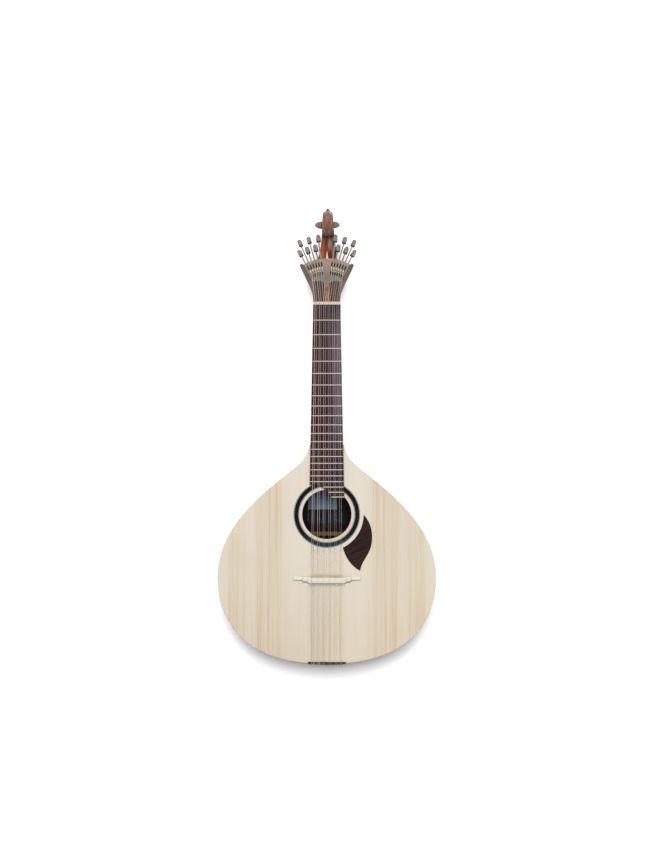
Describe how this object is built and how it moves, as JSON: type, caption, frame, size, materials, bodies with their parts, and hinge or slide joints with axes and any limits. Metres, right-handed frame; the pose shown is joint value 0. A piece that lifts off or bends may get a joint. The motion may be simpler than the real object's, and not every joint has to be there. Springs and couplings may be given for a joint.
{
  "type": "portuguese guitar",
  "caption": "Pear-shaped plucked lute with an arched back, a fretted neck, a fan tuning machine and a carved scroll; tuning screws draw string hooks along a slotted plate.",
  "frame": {"origin": "on the back's flat centre strip, under the string line of the bridge, where the instrument rests when it lies on its back", "axes": "+Y along the neck to the head, +Z out of the soundboard, +X to the treble side"},
  "size_m": [0.354, 0.7423, 0.1022],
  "materials": {
    "soundboard_spruce": "satin",
    "rosette_inlay": "satin",
    "pickguard_rosewood": "satin",
    "side_wood": "gloss",
    "inner_wood": "matt",
    "neck_wood": "satin",
    "head_wood": "satin",
    "fingerboard_wood": "satin",
    "nut_bone": "satin",
    "fan_metal": "satin",
    "screw_metal": "satin",
    "hook_brass": "polished",
    "string_wire": "polished",
    "bridge_maple": "satin",
    "saddle_wood": "satin",
    "rail_metal": "satin"
  },
  "bodies": {
    "root": {"soundboard": "soundboard_spruce", "rosette": "rosette_inlay", "pickguard": "pickguard_rosewood", "rib_bass": "side_wood", "rib_treble": "side_wood", "back": "side_wood", "top_lining": "inner_wood", "back_lining": "inner_wood", "neck_block": "inner_wood", "tail_block": "inner_wood", "top_brace_upper": "inner_wood", "top_brace_middle": "inner_wood", "top_brace_lower": "inner_wood", "back_brace_upper": "inner_wood", "back_brace_lower": "inner_wood", "neck": "neck_wood", "head": "head_wood", "fingerboard": "fingerboard_wood", "nut": "nut_bone", "fan_plate": "fan_metal", "fan_arc": "fan_metal", "bridge": "bridge_maple", "tail_saddle": "saddle_wood", "string_rail": "rail_metal", "string_1": "string_wire", "string_2": "string_wire", "string_3": "string_wire", "string_4": "string_wire", "string_5": "string_wire", "string_6": "string_wire", "string_7": "string_wire", "string_8": "string_wire", "string_9": "string_wire", "string_10": "string_wire", "string_11": "string_wire", "string_12": "string_wire"},
    "screw_1": {"tuning_screw_1": "screw_metal"},
    "screw_2": {"tuning_screw_2": "screw_metal"},
    "screw_3": {"tuning_screw_3": "screw_metal"},
    "screw_4": {"tuning_screw_4": "screw_metal"},
    "screw_5": {"tuning_screw_5": "screw_metal"},
    "screw_6": {"tuning_screw_6": "screw_metal"},
    "screw_7": {"tuning_screw_7": "screw_metal"},
    "screw_8": {"tuning_screw_8": "screw_metal"},
    "screw_9": {"tuning_screw_9": "screw_metal"},
    "screw_10": {"tuning_screw_10": "screw_metal"},
    "screw_11": {"tuning_screw_11": "screw_metal"},
    "screw_12": {"tuning_screw_12": "screw_metal"},
    "hook_1": {"hook_1": "hook_brass"},
    "hook_2": {"hook_2": "hook_brass"},
    "hook_3": {"hook_3": "hook_brass"},
    "hook_4": {"hook_4": "hook_brass"},
    "hook_5": {"hook_5": "hook_brass"},
    "hook_6": {"hook_6": "hook_brass"},
    "hook_7": {"hook_7": "hook_brass"},
    "hook_8": {"hook_8": "hook_brass"},
    "hook_9": {"hook_9": "hook_brass"},
    "hook_10": {"hook_10": "hook_brass"},
    "hook_11": {"hook_11": "hook_brass"},
    "hook_12": {"hook_12": "hook_brass"}
  },
  "joints": [
    {"name": "screw_1_turn", "type": "hinge", "parent": "root", "child": "screw_1", "pos_m": [-0.03309, 0.50528, 0.07105], "axis": [0.4532, -0.8649, 0.2156], "range_deg": [-4320, 6480]},
    {"name": "hook_1_slide", "type": "slide", "parent": "root", "child": "hook_1", "axis": [-0.4532, 0.8649, -0.2156], "range_m": [-0.0054, 0.0081], "deforming": ["string_1"]},
    {"name": "screw_2_turn", "type": "hinge", "parent": "root", "child": "screw_2", "pos_m": [-0.02852, 0.50734, 0.07054], "axis": [0.3907, -0.8932, 0.2227], "range_deg": [-4320, 6480]},
    {"name": "hook_2_slide", "type": "slide", "parent": "root", "child": "hook_2", "axis": [-0.3907, 0.8932, -0.2227], "range_m": [-0.0054, 0.0081], "deforming": ["string_2"]},
    {"name": "screw_3_turn", "type": "hinge", "parent": "root", "child": "screw_3", "pos_m": [-0.02383, 0.50909, 0.0701], "axis": [0.3264, -0.9172, 0.2287], "range_deg": [-4320, 6480]},
    {"name": "hook_3_slide", "type": "slide", "parent": "root", "child": "hook_3", "axis": [-0.3264, 0.9172, -0.2287], "range_m": [-0.0054, 0.0081], "deforming": ["string_3"]},
    {"name": "screw_4_turn", "type": "hinge", "parent": "root", "child": "screw_4", "pos_m": [-0.01902, 0.51053, 0.06975], "axis": [0.2605, -0.9368, 0.2336], "range_deg": [-4320, 6480]},
    {"name": "hook_4_slide", "type": "slide", "parent": "root", "child": "hook_4", "axis": [-0.2605, 0.9368, -0.2336], "range_m": [-0.0054, 0.0081], "deforming": ["string_4"]},
    {"name": "screw_5_turn", "type": "hinge", "parent": "root", "child": "screw_5", "pos_m": [-0.01412, 0.51163, 0.06947], "axis": [0.1934, -0.952, 0.2374], "range_deg": [-4320, 6480]},
    {"name": "hook_5_slide", "type": "slide", "parent": "root", "child": "hook_5", "axis": [-0.1934, 0.952, -0.2374], "range_m": [-0.0054, 0.0081], "deforming": ["string_5"]},
    {"name": "screw_6_turn", "type": "hinge", "parent": "root", "child": "screw_6", "pos_m": [-0.00915, 0.51241, 0.06928], "axis": [0.1253, -0.9626, 0.24], "range_deg": [-4320, 6480]},
    {"name": "hook_6_slide", "type": "slide", "parent": "root", "child": "hook_6", "axis": [-0.1253, 0.9626, -0.24], "range_m": [-0.0054, 0.0081], "deforming": ["string_6"]},
    {"name": "screw_7_turn", "type": "hinge", "parent": "root", "child": "screw_7", "pos_m": [0.00915, 0.51241, 0.06928], "axis": [-0.1253, -0.9626, 0.24], "range_deg": [-4320, 6480]},
    {"name": "hook_7_slide", "type": "slide", "parent": "root", "child": "hook_7", "axis": [0.1253, 0.9626, -0.24], "range_m": [-0.0054, 0.0081], "deforming": ["string_7"]},
    {"name": "screw_8_turn", "type": "hinge", "parent": "root", "child": "screw_8", "pos_m": [0.01412, 0.51163, 0.06947], "axis": [-0.1934, -0.952, 0.2374], "range_deg": [-4320, 6480]},
    {"name": "hook_8_slide", "type": "slide", "parent": "root", "child": "hook_8", "axis": [0.1934, 0.952, -0.2374], "range_m": [-0.0054, 0.0081], "deforming": ["string_8"]},
    {"name": "screw_9_turn", "type": "hinge", "parent": "root", "child": "screw_9", "pos_m": [0.01902, 0.51053, 0.06975], "axis": [-0.2605, -0.9368, 0.2336], "range_deg": [-4320, 6480]},
    {"name": "hook_9_slide", "type": "slide", "parent": "root", "child": "hook_9", "axis": [0.2605, 0.9368, -0.2336], "range_m": [-0.0054, 0.0081], "deforming": ["string_9"]},
    {"name": "screw_10_turn", "type": "hinge", "parent": "root", "child": "screw_10", "pos_m": [0.02383, 0.50909, 0.0701], "axis": [-0.3264, -0.9172, 0.2287], "range_deg": [-4320, 6480]},
    {"name": "hook_10_slide", "type": "slide", "parent": "root", "child": "hook_10", "axis": [0.3264, 0.9172, -0.2287], "range_m": [-0.0054, 0.0081], "deforming": ["string_10"]},
    {"name": "screw_11_turn", "type": "hinge", "parent": "root", "child": "screw_11", "pos_m": [0.02852, 0.50734, 0.07054], "axis": [-0.3907, -0.8932, 0.2227], "range_deg": [-4320, 6480]},
    {"name": "hook_11_slide", "type": "slide", "parent": "root", "child": "hook_11", "axis": [0.3907, 0.8932, -0.2227], "range_m": [-0.0054, 0.0081], "deforming": ["string_11"]},
    {"name": "screw_12_turn", "type": "hinge", "parent": "root", "child": "screw_12", "pos_m": [0.03309, 0.50528, 0.07105], "axis": [-0.4532, -0.8649, 0.2156], "range_deg": [-4320, 6480]},
    {"name": "hook_12_slide", "type": "slide", "parent": "root", "child": "hook_12", "axis": [0.4532, 0.8649, -0.2156], "range_m": [-0.0054, 0.0081], "deforming": ["string_12"]}
  ],
  "couplings": [
    {"joint": "screw_1_turn", "follows": "hook_1_slide", "rad_per_m": 13963},
    {"joint": "screw_2_turn", "follows": "hook_2_slide", "rad_per_m": 13963},
    {"joint": "screw_3_turn", "follows": "hook_3_slide", "rad_per_m": 13963},
    {"joint": "screw_4_turn", "follows": "hook_4_slide", "rad_per_m": 13963},
    {"joint": "screw_5_turn", "follows": "hook_5_slide", "rad_per_m": 13963},
    {"joint": "screw_6_turn", "follows": "hook_6_slide", "rad_per_m": 13963},
    {"joint": "screw_7_turn", "follows": "hook_7_slide", "rad_per_m": 13963},
    {"joint": "screw_8_turn", "follows": "hook_8_slide", "rad_per_m": 13963},
    {"joint": "screw_9_turn", "follows": "hook_9_slide", "rad_per_m": 13963},
    {"joint": "screw_10_turn", "follows": "hook_10_slide", "rad_per_m": 13963},
    {"joint": "screw_11_turn", "follows": "hook_11_slide", "rad_per_m": 13963},
    {"joint": "screw_12_turn", "follows": "hook_12_slide", "rad_per_m": 13963}
  ]
}
